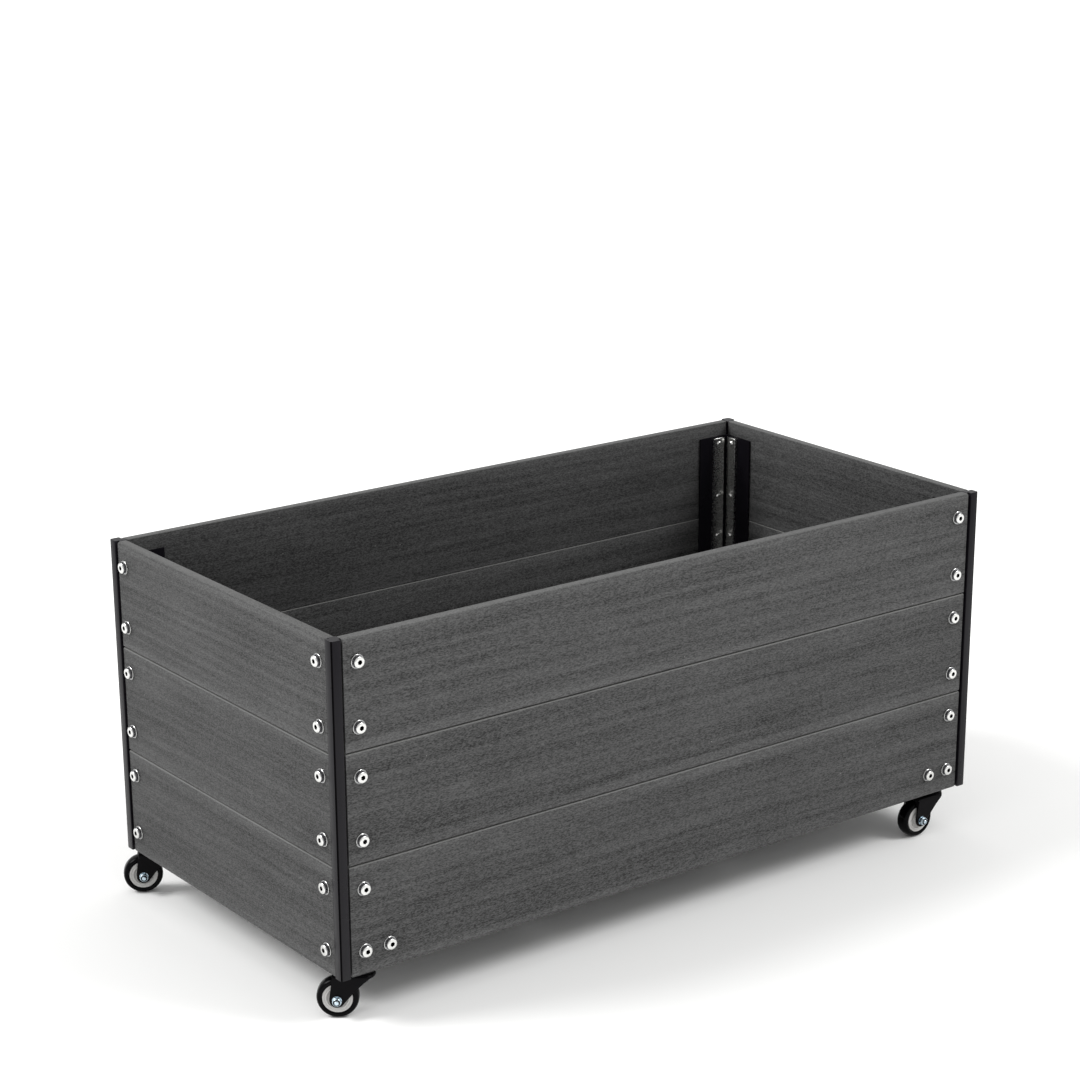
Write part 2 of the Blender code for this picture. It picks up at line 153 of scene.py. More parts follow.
def meshFrom(shape, name, sharpAngle=40):
    bmesh.ops.recalc_face_normals(shape, faces=shape.faces)
    mesh = bpy.data.meshes.new(name)
    shape.to_mesh(mesh)
    shape.free()
    smoothMesh(mesh, sharpAngle)
    return mesh


def smoothMesh(mesh, sharpAngle=40):
    mesh.shade_smooth()
    mesh.set_sharp_from_angle(angle=math.radians(sharpAngle))


def addObject(mesh, name):
    piece = bpy.data.objects.new(name, mesh)
    bpy.context.scene.collection.objects.link(piece)
    return piece


def bakedMesh(piece, name):  # the evaluated mesh, with every modifier in it
    graph = bpy.context.evaluated_depsgraph_get()
    mesh = bpy.data.meshes.new_from_object(piece.evaluated_get(graph), depsgraph=graph)
    mesh.name = name
    return mesh


def placePiece(mesh, material, body, nodes=()):  # no material means that the mesh has its own
    if material:
        mesh.materials.clear()
        mesh.materials.append(material)
    piece = addObject(mesh, mesh.name)
    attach(piece, body)
    if nodes:
        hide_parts(*nodes)


def sidePoint(sideName, along, out, height):
    alongWay, outWay = sides[sideName]
    return alongWay * along + outWay * out + Vector((0, 0, height))


def sideSpan(node, sideName):  # a node's box as (along, out, height) ranges of its side
    low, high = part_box(node)
    return [sorted((way.dot(low), way.dot(high))) for way in (*sides[sideName], Vector((0, 0, 1)))]


# materials

def newMaterial(name):
    material = bpy.data.materials.new(name)
    material.use_nodes = True
    tree = material.node_tree
    tree.nodes.clear()
    shader = addNode(tree, "ShaderNodeBsdfPrincipled")
    addNode(tree, "ShaderNodeOutputMaterial", inputs={"Surface": shader.outputs["BSDF"]})
    place = addNode(tree, "ShaderNodeTexCoord").outputs["Object"]
    return material, tree, shader, place


def tonedColour(code, gain):
    return [channel * gain for channel in linearColour(code)[:3]] + [1.0]


def setShader(shader, **values):
    for name, value in values.items():
        shader.inputs[name.replace("_", " ")].default_value = value


def stretchedNoise(tree, place, size, detail=3.0, roughness=0.6, offset=(0, 0, 0)):
    # size is the grain's (x, y, z) size in metres
    mapping = addNode(tree, "ShaderNodeMapping", inputs={
        "Vector": place, "Location": offset, "Scale": [1 / s for s in size]})
    return addNode(tree, "ShaderNodeTexNoise", inputs={
        "Vector": mapping.outputs["Vector"], "Scale": 1.0, "Detail": detail, "Roughness": roughness})


def fromTo(value, low, high, toLow, toHigh):  # inputs that map one range to another
    return {"Value": value, "From Min": low, "From Max": high, "To Min": toLow, "To Max": toHigh}


compositeFinish = {
    "dark": "0F0F0F",
    "light": "5E5E5E",
    # the specks' colour, which the painted arris highlight also uses
    "speck": "90908E",
    "fibre": (0.0009, 0.0028),  # width and length of a brushed fibre mark, drawn twice as coarse to show
    "tuft": (0.0017, 0.0085),  # clumps of wood flour
    "streak": (0.0014, 0.09),
    "draw": (0.007, 0.40),  # broad bands left by the die
    "cloud": (0.05, 0.125),
    "fibreTone": (0.36, 0.64, -0.04, 0.52),  # the noise's low and high, and the tones they give
    "tuftTone": (0.36, 0.64, 0.0, 0.14),
    "streakTone": (0.32, 0.68, 0.0, 0.14),
    "drawTone": (0.34, 0.66, 0.0, 0.20),
    "cloudTone": (0.3, 0.7, -0.04, 0.06),
    "boardTone": (0.0, 1.0, -0.02, 0.03),  # each row of boards differs a little
    "speckSpacing": 0.024,
    "speckEdge": (0.018, 0.034),
    "speckStrength": 0.8,
    "boardPitch": 0.41 / 3,
    "boardFoot": 0.06205,  # a little above the lowest edge, so that each upper edge falls in its own board
    "edgeBand": (0.005, 0.017),  # paler margin along both edges, where it fades out
    "edgeGain": 0.17,
    "arrisHighlightBand": (0.0017, 0.0008),  # painted highlight on each upper arris, where light from above falls: from where it starts to where it's full
    "seamHighlightGain": 0.45,
    "rimHighlightGain": 0.12,
    "rimRows": (2.5, 2.9),  # the rim's painted highlight strength takes over here, in rows above the foot
    "bumpDepth": 0.00010,
    "roughness": (0.58, 0.80),
    "specularLevel": 0.25,
}


def makeComposite(name, alongAxis, look=compositeFinish):
    # Wood-plastic composite, extruded and then wire-brushed along the board: dull and mottled, with pale fibres.
    material, tree, shader, place = newMaterial(name)

    def grain(width, length):
        size = [width] * 3
        size[alongAxis] = length
        return size

    fibre = stretchedNoise(tree, place, grain(*look["fibre"]), 1.0, 0.6)
    tuft = stretchedNoise(tree, place, grain(*look["tuft"]), 2.0, 0.6, (1, 4, 8))
    streak = stretchedNoise(tree, place, grain(*look["streak"]), 2.0, 0.6, (3, 7, 5))
    draw = stretchedNoise(tree, place, grain(*look["draw"]), 2.0, 0.5, (6, 2, 9))
    cloud = stretchedNoise(tree, place, grain(*look["cloud"]), 2.0, 0.5, (9, 2, 4))
    height = addNode(tree, "ShaderNodeSeparateXYZ", inputs={"Vector": place}).outputs["Z"]
    aboveFoot = addNode(tree, "ShaderNodeMath", {"operation": "SUBTRACT"}, {0: height, 1: look["boardFoot"]})
    row = addNode(tree, "ShaderNodeMath", {"operation": "DIVIDE"}, {0: aboveFoot, 1: look["boardPitch"]})
    rowNumber = addNode(tree, "ShaderNodeMath", {"operation": "FLOOR"}, {0: row})
    rowTone = addNode(tree, "ShaderNodeTexWhiteNoise", {"noise_dimensions": "1D"}, {"W": rowNumber})
    inRow = addNode(tree, "ShaderNodeMath", {"operation": "FRACT"}, {0: row})
    gain = addNode(tree, "ShaderNodeMapRange", inputs=fromTo(
        row, *look["rimRows"], look["seamHighlightGain"], look["rimHighlightGain"]))
    # painted highlight: each board's upper arris is paled towards the speck colour, strongly at the seams and
    # lightly on the rim
    arris = [1 - reach / look["boardPitch"] for reach in look["arrisHighlightBand"]]
    arrisHighlight = addNode(tree, "ShaderNodeMapRange", inputs=fromTo(inRow, *arris, 0.0, gain))
    fromTop = addNode(tree, "ShaderNodeMath", {"operation": "SUBTRACT"}, {0: 1.0, 1: inRow})
    toEdge = addNode(tree, "ShaderNodeMath", {"operation": "MINIMUM"}, {0: inRow, 1: fromTop})
    edge = [reach / look["boardPitch"] for reach in look["edgeBand"]]
    margin = addNode(tree, "ShaderNodeMapRange", inputs=fromTo(toEdge, *edge, look["edgeGain"], 0.0))

    tone = margin
    for pattern, limits in ((fibre, "fibreTone"), (tuft, "tuftTone"), (streak, "streakTone"),
                            (draw, "drawTone"), (cloud, "cloudTone"), (rowTone, "boardTone")):
        share = addNode(tree, "ShaderNodeMapRange", inputs=fromTo(pattern, *look[limits]))
        tone = addNode(tree, "ShaderNodeMath", {"operation": "ADD"}, {0: tone, 1: share})
    base = addNode(tree, "ShaderNodeMix", {"data_type": "RGBA"}, {
        "Factor": tone, 6: linearColour(look["dark"]), 7: linearColour(look["light"])})

    specks = addNode(tree, "ShaderNodeTexVoronoi", {"feature": "F1"}, {
        "Vector": place, "Scale": 1 / look["speckSpacing"], "Randomness": 1.0})
    speckMask = addNode(tree, "ShaderNodeMapRange", inputs=fromTo(
        specks.outputs["Distance"], *look["speckEdge"], look["speckStrength"], 0.0))
    # the specks are the composite's own colour; the arris band joined here is painted highlight
    pale = addNode(tree, "ShaderNodeMath", {"operation": "MAXIMUM"}, {0: speckMask, 1: arrisHighlight})
    colour = addNode(tree, "ShaderNodeMix", {"data_type": "RGBA"}, {
        "Factor": pale, 6: base.outputs[2], 7: linearColour(look["speck"])})
    tree.links.new(colour.outputs[2], shader.inputs["Base Color"])

    relief = fibre
    for pattern in (tuft, streak):
        relief = addNode(tree, "ShaderNodeMath", {"operation": "ADD"}, {0: relief, 1: pattern})
    bump = addNode(tree, "ShaderNodeBump", inputs={
        "Height": relief, "Strength": 0.5, "Distance": look["bumpDepth"]})
    tree.links.new(bump.outputs["Normal"], shader.inputs["Normal"])
    rough = addNode(tree, "ShaderNodeMapRange", inputs=fromTo(fibre, 0.3, 0.7, *look["roughness"]))
    tree.links.new(rough.outputs["Result"], shader.inputs["Roughness"])
    setShader(shader, IOR=1.46, Specular_IOR_Level=look["specularLevel"])
    return material


coatFinish = {"patch": 0.03, "darker": 0.88, "lighter": 1.14, "duller": 0.05, "glossier": 0.04}


def makeCoated(name, colour, roughness, level=0.25, peel=0.0009, bumpDepth=0.00004, look=coatFinish):
    # Powder coat, sprayed as dust and baked: an even, faintly pebbled skin with a soft sheen.
    material, tree, shader, place = newMaterial(name)
    pebble = stretchedNoise(tree, place, (peel,) * 3, 2.0, 0.5)
    patch = stretchedNoise(tree, place, (look["patch"],) * 3, 3.0, 0.6, (5, 1, 8))
    mix = addNode(tree, "ShaderNodeMix", {"data_type": "RGBA"}, {
        "Factor": patch.outputs["Fac"], 6: tonedColour(colour, look["darker"]),
        7: tonedColour(colour, look["lighter"])})
    tree.links.new(mix.outputs[2], shader.inputs["Base Color"])
    rough = addNode(tree, "ShaderNodeMapRange", inputs=fromTo(
        patch, 0.3, 0.7, roughness - look["glossier"], roughness + look["duller"]))
    tree.links.new(rough.outputs["Result"], shader.inputs["Roughness"])
    bump = addNode(tree, "ShaderNodeBump", inputs={
        "Height": pebble.outputs["Fac"], "Strength": 0.5, "Distance": bumpDepth})
    tree.links.new(bump.outputs["Normal"], shader.inputs["Normal"])
    setShader(shader, IOR=1.5, Specular_IOR_Level=level)
    return material


zincFinish = {"cloud": 0.0016, "darker": 0.86, "duller": 0.07, "glossier": 0.05}


def makeZinc(name, colour, roughness, look=zincFinish):
    # Bright zinc plate on steel: near-mirror, with a fine clouding that softens its highlights.
    material, tree, shader, place = newMaterial(name)
    cloud = stretchedNoise(tree, place, (look["cloud"],) * 3, 3.0, 0.6)
    mix = addNode(tree, "ShaderNodeMix", {"data_type": "RGBA"}, {
        "Factor": cloud.outputs["Fac"], 6: tonedColour(colour, look["darker"]), 7: linearColour(colour)})
    tree.links.new(mix.outputs[2], shader.inputs["Base Color"])
    rough = addNode(tree, "ShaderNodeMapRange", inputs=fromTo(
        cloud, 0.3, 0.7, roughness - look["glossier"], roughness + look["duller"]))
    tree.links.new(rough.outputs["Result"], shader.inputs["Roughness"])
    setShader(shader, Metallic=1.0)
    return material


mouldedFinish = {"flow": 0.012, "darker": 0.93, "duller": 0.05, "glossier": 0.04}


def makeMoulded(name, colour, roughness, level=0.5, grain=0.0006, bumpDepth=0.00002, look=mouldedFinish):
    # Injection-moulded polymer: one even colour, with the mould's faint sparkle-eroded texture.
    material, tree, shader, place = newMaterial(name)
    texture = stretchedNoise(tree, place, (grain,) * 3, 2.0, 0.5)
    flow = stretchedNoise(tree, place, (look["flow"],) * 3, 2.0, 0.5, (2, 6, 1))
    mix = addNode(tree, "ShaderNodeMix", {"data_type": "RGBA"}, {
        "Factor": flow.outputs["Fac"], 6: tonedColour(colour, look["darker"]), 7: linearColour(colour)})
    tree.links.new(mix.outputs[2], shader.inputs["Base Color"])
    rough = addNode(tree, "ShaderNodeMapRange", inputs=fromTo(
        flow, 0.3, 0.7, roughness - look["glossier"], roughness + look["duller"]))
    tree.links.new(rough.outputs["Result"], shader.inputs["Roughness"])
    bump = addNode(tree, "ShaderNodeBump", inputs={
        "Height": texture.outputs["Fac"], "Strength": 0.4, "Distance": bumpDepth})
    tree.links.new(bump.outputs["Normal"], shader.inputs["Normal"])
    setShader(shader, IOR=1.49, Specular_IOR_Level=level)
    return material


longBoards = makeComposite("brushedCompositeLong", 0)
shortBoards = makeComposite("brushedCompositeShort", 1)
floorComposite = makeComposite("extrudedCompositeFloor", 1)
anthraciteCoat = makeCoated("anthracitePowderCoat", "110F14", 0.30, level=0.17)
# near-black coat for the post groove's upright faces: painted shade
grooveShadeCoat = makeCoated("dustyPowderCoat", "09080A", 0.8, level=0.05)
blackCoat = makeCoated("blackPowderCoat", "0F0F11", 0.45)
blackPaint = makeCoated("blackStovedPaint", "09080A", 0.30, level=0.06, peel=0.002, bumpDepth=0.00002)
brightZinc = makeZinc("brightZincPlate", "E4E4E2", 0.26)
# darker zinc for the bolt heads' sides: painted dark reflection
headSideReflectionZinc = makeZinc("shadedZincPlate", "949496", 0.28)
# near-black steel for the hex sockets: painted shade in the deep holes
socketShadeSteel = makeZinc("greasySocketSteel", "101012", 0.55)
blueZinc = makeZinc("blueZincPlate", "CCDDE8", 0.24)
insertNylon = makeMoulded("darkLockingNylon", "0E1316", 0.5, level=0.2)
paleNylon = makeMoulded("paleGreyNylon", "BDBCBA", 0.38, level=0.4)
blackTyre = makeMoulded("blackPolyurethane", "040405", 0.16, level=0.07, grain=0.0009)
print("materials made")


# boards

boardShape = {
    "grooves": 70,  # brushed lines, one above the other
    "grooveDepth": 0.00010,
    "arris": 0.0011,
    "rimRound": 0.0030,
    "seamHeight": 0.0018,  # rebate under each upper board, which shades the seam
    "seamDepth": 0.0030,
    "seamLip": 0.0003,
    "endRound": 0.0006,
    "roundSteps": 4,
}


def boardSection(outRange, heightRange, row, seed):
    # The outline is (out, height), and goes up the outer face and down the inner one.
    draw = random.Random(seed)
    inner, outer = outRange
    low, high = heightRange
    arris, steps = boardShape["arris"], boardShape["roundSteps"]
    isTop = row == "top"
    rim = boardShape["rimRound"] if isTop else arris
    if row == "bottom":
        section = arcPoints(outer - arris, low + arris, arris, -90, 0, steps)
        faceLow = low + arris
    else:
        seam, depth, lip = boardShape["seamHeight"], boardShape["seamDepth"], boardShape["seamLip"]
        section = [(outer - depth, low), (outer - depth, low + seam)]
        section += arcPoints(outer - lip, low + seam + lip, lip, -90, 0, 2)
        faceLow = low + seam + lip
    faceHigh = high - rim
    count = boardShape["grooves"]
    for i in range(1, count):
        height = faceLow + (faceHigh - faceLow) * (i + draw.uniform(-0.3, 0.3)) / count
        depth = boardShape["grooveDepth"] * draw.random() ** 2 if i % 2 else 0.0
        section.append((outer - depth, height))
    section += arcPoints(outer - rim, high - rim, rim, 0, 90, steps + 2 if isTop else steps)
    section += arcPoints(inner + arris, high - arris, arris, 90, 180, steps)
    section += arcPoints(inner + arris, low + arris, arris, 180, 270, steps)
    return section


def makeBoard(sideName, row, seed):
    node = f"{sideName}_plank_{row}"
    along, out, height = sideSpan(node, sideName)
    shape = bmesh.new()
    section = boardSection(out, height, row, seed)
    edge = boardShape["endRound"]
    levels = [(along[0], edge), (along[0] + edge, 0), (along[1] - edge, 0), (along[1], edge)]
    extrudeOutline(shape, section, levels, lambda a, b, c: sidePoint(sideName, c, a, b))
    mesh = meshFrom(shape, camelName("board", sideName, row), 50)
    material = longBoards if sideName in ("front", "back") else shortBoards
    placePiece(mesh, material, "planter", [node])


for sideIndex, sideName in enumerate(sides):
    for rowIndex, row in enumerate(rows):
        makeBoard(sideName, row, 100 + 10 * sideIndex + rowIndex)
print("boards made")


# corner posts

postShape = {
    "nose": 0.013,
    "groove": 0.0015,  # square groove down the nose's outer edge
    "neckFrom": 0.006,
    "neckTo": 0.0159,
    "legFrom": 0.0148,
    "legThick": 0.0025,
    "legReach": 0.066,
    "legLow": 0.117,
    "legHigh": 0.453,
    "soft": 0.0007,
    "grooveSoft": 0.0002,
    "legBend": 0.0015,
    "endSoft": 0.0004,
}


def makePost(corner):
    signX, signY = corners[corner]
    node = f"post_{corner}"
    low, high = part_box(node)
    edgeX = max(abs(low.x), abs(high.x))
    edgeY = max(abs(low.y), abs(high.y))

    def toSpace(a, b, c):
        return Vector((signX * (edgeX - a), signY * (edgeY - b), c))

    nose, groove, soft = postShape["nose"], postShape["groove"], postShape["soft"]
    neckFrom, neckTo = postShape["neckFrom"], postShape["neckTo"]
    outline = [(0, groove), (groove, groove), (groove, 0), (nose, 0), (nose, neckFrom), (neckTo, neckFrom),
               (neckTo, neckTo), (neckFrom, neckTo), (neckFrom, nose), (0, nose)]
    sharp, edge = postShape["grooveSoft"], postShape["endSoft"]
    outline = roundedPolygon(outline, [sharp, 0, sharp, soft, 0, 0, 0, 0, 0, soft], 3)
    shape = bmesh.new()
    levels = [(low.z, edge), (low.z + edge, 0), (high.z - edge, 0), (high.z, edge)]
    extrudeOutline(shape, outline, levels, toSpace)
    post = addObject(meshFrom(shape, camelName("cornerPost", corner)), camelName("postCore", corner))
    inner, outer, reach = postShape["legFrom"], postShape["legFrom"] + postShape["legThick"], postShape["legReach"]
    angle = [(inner, inner), (reach, inner), (reach, outer), (outer, outer), (outer, reach), (inner, reach)]
    angle = roundedPolygon(angle, [0, soft, soft, postShape["legBend"], soft, soft], 3)
    legs = bmesh.new()
    extrudeOutline(legs, angle, [(postShape["legLow"], 0), (postShape["legHigh"], 0)], toSpace)
    cutter = addObject(meshFrom(legs, "legs"), "legs")
    union = post.modifiers.new("legs", "BOOLEAN")
    union.operation, union.solver, union.object = "UNION", "EXACT", cutter
    mesh = bakedMesh(post, camelName("cornerPost", corner))
    smoothMesh(mesh)
    bpy.data.objects.remove(post)
    bpy.data.objects.remove(cutter)
    mesh.materials.clear()
    mesh.materials.append(anthraciteCoat)
    mesh.materials.append(grooveShadeCoat)
    for face in mesh.polygons:  # painted shade: the groove's upright faces get a near-black coat that stands in for the shade falling in it
        a = edgeX - signX * face.center.x
        b = edgeY - signY * face.center.y
        face.material_index = 1 if abs(face.normal.z) < 0.5 and max(a, b) < groove + 0.0001 else 0
    placePiece(mesh, None, "planter", [node])


for corner in corners:
    makePost(corner)
print("corner posts made")


# bolts

boltShape = {
    "segments": 36,
    "washerRadius": 0.0085,
    "washerThick": 0.0015,
    "washerFoot": 0.00008,  # clears the board, so that the faces don't flicker
    "headRadius": 0.0070,
    "headTop": 0.0061,  # from the board's face
    "socketRadius": 0.0029,
    "socketDepth": 0.0036,
    "shankRadius": 0.0040,
    "stripFace": -0.0196,  # the strip's inner face, from the board's face
    "shankEnd": -0.0211,
    "shankSegments": 24,
}
boltRows = {
    "edge": 0.0296,  # from a board's edge to its bolt
    "insetLong": 0.0346,
    "insetShort": 0.0309,
    "extra": 0.0338,
    "stripWidth": 0.018,
    "stripOuter": -0.0156,
    "stripThick": 0.004,
    "stripCorner": 0.002,
    "stripSoft": 0.0003,
}


def makeBoltMesh():  # axis along +Z, with the board's face at 0
    size = boltShape
    top, washer, head = size["headTop"], size["washerThick"], size["headRadius"]
    wide, socket = size["washerRadius"], size["socketRadius"]
    foot, depth = size["washerFoot"], size["socketDepth"]
    profile = [  # round the washer, up the head, over its crown and down the socket
        (0, foot), (wide - 0.0003, foot), (wide, 0.0004), (wide, washer - 0.0003), (wide - 0.0003, washer),
        (head - 0.0004, washer), (head, washer + 0.0004), (head, top - 0.0016), (head - 0.0003, top - 0.0009),
        (head - 0.0009, top - 0.0003), (head - 0.0017, top), (socket + 0.0007, top),
        (socket + 0.0002, top - 0.0001, 6), (socket, top - 0.0005, 6), (socket, top - depth, 6),
        (0, top - depth - 0.0008),
    ]
    shape = bmesh.new()
    latheProfile(shape, profile, size["segments"])
    shank, end = size["shankRadius"], size["shankEnd"]
    stud = [(0, size["stripFace"] - 0.00005), (shank, size["stripFace"] - 0.00005),
            (shank, end + 0.0005), (shank - 0.0006, end), (0, end)]
    latheProfile(shape, stud, size["shankSegments"])
    mesh = meshFrom(shape, "boltPattern", 30)
    inSocket = mesh.attributes.new("inSocket", "BOOLEAN", "FACE")
    onSide = mesh.attributes.new("onSide", "BOOLEAN", "FACE")
    # the socket's faces take painted shade and the head's side a painted dark reflection
    for face in mesh.polygons:
        reach, height = math.hypot(*face.center[:2]), face.center.z
        inSocket.data[face.index].value = reach < socket + 0.0001 and washer < height < top - 0.0002
        onSide.data[face.index].value = reach > head - 0.0003 and washer < height < top - 0.0012
    return mesh


def makeBoltTree(boltObject):  # columns of bolts at both ends of a side, and any extra ones beside the lowest
    tree = bpy.data.node_groups.new("boltColumns", "GeometryNodeTree")
    tree.is_modifier = True
    face = tree.interface
    sockets = {}
    for name, kind in (("Column Offset", "Float"), ("Lowest Bolt", "Float"), ("Board Pitch", "Float"),
                       ("Bolt Spacing", "Float"), ("Boards", "Int"), ("Extra Offset", "Float"),
                       ("Extra Bolts", "Int"), ("Seed", "Int")):
        sockets[name] = face.new_socket(name, in_out="INPUT", socket_type="NodeSocket" + kind).identifier
    for name in ("Finish", "Side Finish", "Socket Finish"):
        sockets[name] = face.new_socket(name, in_out="INPUT", socket_type="NodeSocketMaterial").identifier
    face.new_socket("Geometry", in_out="OUTPUT", socket_type="NodeSocketGeometry")
    given = addNode(tree, "NodeGroupInput").outputs

    boltStep = addNode(tree, "ShaderNodeCombineXYZ", inputs={"Z": given["Bolt Spacing"]})
    boardStep = addNode(tree, "ShaderNodeCombineXYZ", inputs={"Z": given["Board Pitch"]})
    columnFoot = addNode(tree, "ShaderNodeCombineXYZ", inputs={
        "X": given["Column Offset"], "Z": given["Lowest Bolt"]})
    extraFoot = addNode(tree, "ShaderNodeCombineXYZ", inputs={
        "X": given["Extra Offset"], "Z": given["Lowest Bolt"]})
    pair = addNode(tree, "GeometryNodeMeshLine", inputs={"Count": 2, "Offset": boltStep})
    boards = addNode(tree, "GeometryNodeMeshLine", inputs={
        "Count": given["Boards"], "Start Location": columnFoot, "Offset": boardStep})
    column = addNode(tree, "GeometryNodeInstanceOnPoints", inputs={
        "Points": boards.outputs["Mesh"], "Instance": pair.outputs["Mesh"]})
    column = addNode(tree, "GeometryNodeRealizeInstances", inputs={"Geometry": column.outputs["Instances"]})
    extra = addNode(tree, "GeometryNodeMeshLine", inputs={
        "Count": given["Extra Bolts"], "Start Location": extraFoot, "Offset": boardStep})
    oneEnd = addNode(tree, "GeometryNodeJoinGeometry")
    tree.links.new(column.outputs["Geometry"], oneEnd.inputs["Geometry"])
    tree.links.new(extra.outputs["Mesh"], oneEnd.inputs["Geometry"])
    otherEnd = addNode(tree, "GeometryNodeTransform", inputs={
        "Geometry": oneEnd.outputs["Geometry"], "Rotation": (0, 0, math.pi)})
    ends = addNode(tree, "GeometryNodeJoinGeometry")
    tree.links.new(oneEnd.outputs["Geometry"], ends.inputs["Geometry"])
    tree.links.new(otherEnd.outputs["Geometry"], ends.inputs["Geometry"])
    bolt = addNode(tree, "GeometryNodeObjectInfo", inputs={"Object": boltObject})
    spin = addNode(tree, "FunctionNodeRandomValue", {"data_type": "FLOAT"}, {
        2: 0.0, 3: 2 * math.pi, "Seed": given["Seed"]})
    turn = addNode(tree, "ShaderNodeCombineXYZ", inputs={"Z": spin.outputs[1]})
    facing = addNode(tree, "FunctionNodeEulerToRotation", inputs={"Euler": turn.outputs["Vector"]})
    outward = addNode(tree, "FunctionNodeEulerToRotation", inputs={"Euler": (math.pi / 2, 0, 0)})
    rotation = addNode(tree, "FunctionNodeRotateRotation", {"rotation_space": "GLOBAL"}, {
        "Rotation": facing.outputs["Rotation"], "Rotate By": outward.outputs["Rotation"]})
    placed = addNode(tree, "GeometryNodeInstanceOnPoints", inputs={
        "Points": ends.outputs["Geometry"], "Instance": bolt.outputs["Geometry"],
        "Rotation": rotation.outputs["Rotation"]})
    real = addNode(tree, "GeometryNodeRealizeInstances", inputs={"Geometry": placed.outputs["Instances"]})
    coated = addNode(tree, "GeometryNodeSetMaterial", inputs={
        "Geometry": real.outputs["Geometry"], "Material": given["Finish"]})
    # painted dark reflection on the head's side and painted shade in the socket
    for mark, finish in (("onSide", "Side Finish"), ("inSocket", "Socket Finish")):
        marked = addNode(tree, "GeometryNodeInputNamedAttribute", {"data_type": "BOOLEAN"}, {"Name": mark})
        coated = addNode(tree, "GeometryNodeSetMaterial", inputs={
            "Geometry": coated.outputs["Geometry"], "Selection": marked.outputs["Attribute"],
            "Material": given[finish]})
    addNode(tree, "NodeGroupOutput", inputs={"Geometry": coated.outputs["Geometry"]})
    return tree, sockets


def runTree(tree, sockets, values, name):  # the tree's result as a plain mesh
    host = addObject(bpy.data.meshes.new(name), name + "Host")
    modifier = host.modifiers.new(name, "NODES")
    modifier.node_group = tree
    for key, value in values.items():
        modifier[sockets[key]] = value
    host.update_tag()
    bpy.context.view_layer.update()
    mesh = bakedMesh(host, name)
    host.modifiers.remove(modifier)
    bpy.data.objects.remove(host)
    return mesh


def makeStrips(sideName, columnOffset, hasExtra):  # the threaded strips behind both columns
    low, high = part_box(f"{sideName}_bolts_left")
    half = boltRows["stripWidth"] / 2
    shape = bmesh.new()
    faceOut = sideSpan(f"{sideName}_plank_middle", sideName)[1][1]
    near, soft = faceOut + boltRows["stripOuter"], boltRows["stripSoft"]
    far = near - boltRows["stripThick"]
    for sign in (-1, 1):
        x = columnOffset
        outline = [(x + half, low.z), (x + half, high.z), (x - half, high.z)]
        if hasExtra:
            inner = x - boltRows["extra"] - half
            outline += [(x - half, low.z + 2 * half), (inner, low.z + 2 * half), (inner, low.z)]
        else:
            outline += [(x - half, low.z)]
        outline = roundedPolygon([(sign * a, b) for a, b in outline], boltRows["stripCorner"], 3)
        levels = [(far, soft), (far + soft, 0), (near - soft, 0), (near, soft)]
        extrudeOutline(shape, outline, levels, lambda a, b, c: sidePoint(sideName, a, c, b))
    return meshFrom(shape, "strips")


def makeBolts(sideName, tree, sockets, seed):
    isLong = sideName in ("front", "back")
    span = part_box("post_front_left")[0]
    half = abs(span.x) if isLong else abs(span.y)
    offset = half - (boltRows["insetLong"] if isLong else boltRows["insetShort"])
    foot = span.z
    pitch = compositeFinish["boardPitch"]
    mesh = runTree(tree, sockets, {
        "Column Offset": offset, "Lowest Bolt": foot + boltRows["edge"], "Board Pitch": pitch,
        "Bolt Spacing": pitch - 2 * boltRows["edge"], "Boards": len(rows),
        "Extra Offset": offset - boltRows["extra"], "Extra Bolts": 1 if isLong else 0, "Seed": seed,
        "Finish": brightZinc, "Side Finish": headSideReflectionZinc, "Socket Finish": socketShadeSteel}, camelName("bolts", sideName))
    faceOut = sideSpan(f"{sideName}_plank_middle", sideName)[1][1]
    alongWay, outWay = sides[sideName]
    turn = Matrix((alongWay, -outWay, Vector((0, 0, 1)))).transposed().to_4x4()
    mesh.transform(Matrix.Translation(outWay * faceOut) @ turn)
    nodes = [f"{sideName}_bolts_{end}" for end in ("left", "right")]
    placePiece(mesh, None, "planter", nodes)
    strips = makeStrips(sideName, offset, isLong)
    strips.name = camelName("threadedStrips", sideName)
    placePiece(strips, brightZinc, "planter")


boltPattern = addObject(makeBoltMesh(), "boltPattern")
boltTree, boltSockets = makeBoltTree(boltPattern)
for sideIndex, sideName in enumerate(sides):
    makeBolts(sideName, boltTree, boltSockets, 20 + sideIndex)
bpy.data.objects.remove(boltPattern)
print("bolts made")


# casters, each made about its swivel's axis with the box's underside at 0 and the wheel along +X

casterShape = {
    "axleDrop": 0.037,
    "trail": 0.029,
    "crownTop": -0.0065,
    "sheet": 0.0020,
    "halfWidth": 0.0140,
    "crownRadius": 0.0155,
    "crownBack": 0.034,
    "eyeRadius": 0.009,
    "bend": 0.0029,
    "lip": 0.0030,  # depth of the crown's rim
    "flangeTop": 0.0090,
    "flangeFoot": 0.0021,
    "flangeFall": 0.0155,  # height over which the flange narrows from the crown
    "crownFlange": 0.0044,  # most that the flange hangs from the crown
    "edgeSoft": 0.0004,
}
plateShape = {
    "radius": 0.0155,
    "top": -0.0003,
    "thick": 0.0025,
    "lip": 0.0008,
    "chamfer": 0.0003,
    "underside": [(0.0132, 0.0), (0.0128, 0.0002), (0.0096, 0.0002), (0.0090, 0.0)],  # above the plate's lower face
    "kingpin": [(0.0090, -0.0058), (0.0086, -0.0062), (0.0040, -0.0062), (0.0040, -0.0088), (0.0065, -0.0088),
                (0.0065, -0.0100), (0.0055, -0.0110), (0.0035, -0.0115), (0.0015, -0.0113), (0, -0.0112)],
    "segments": 64,
}
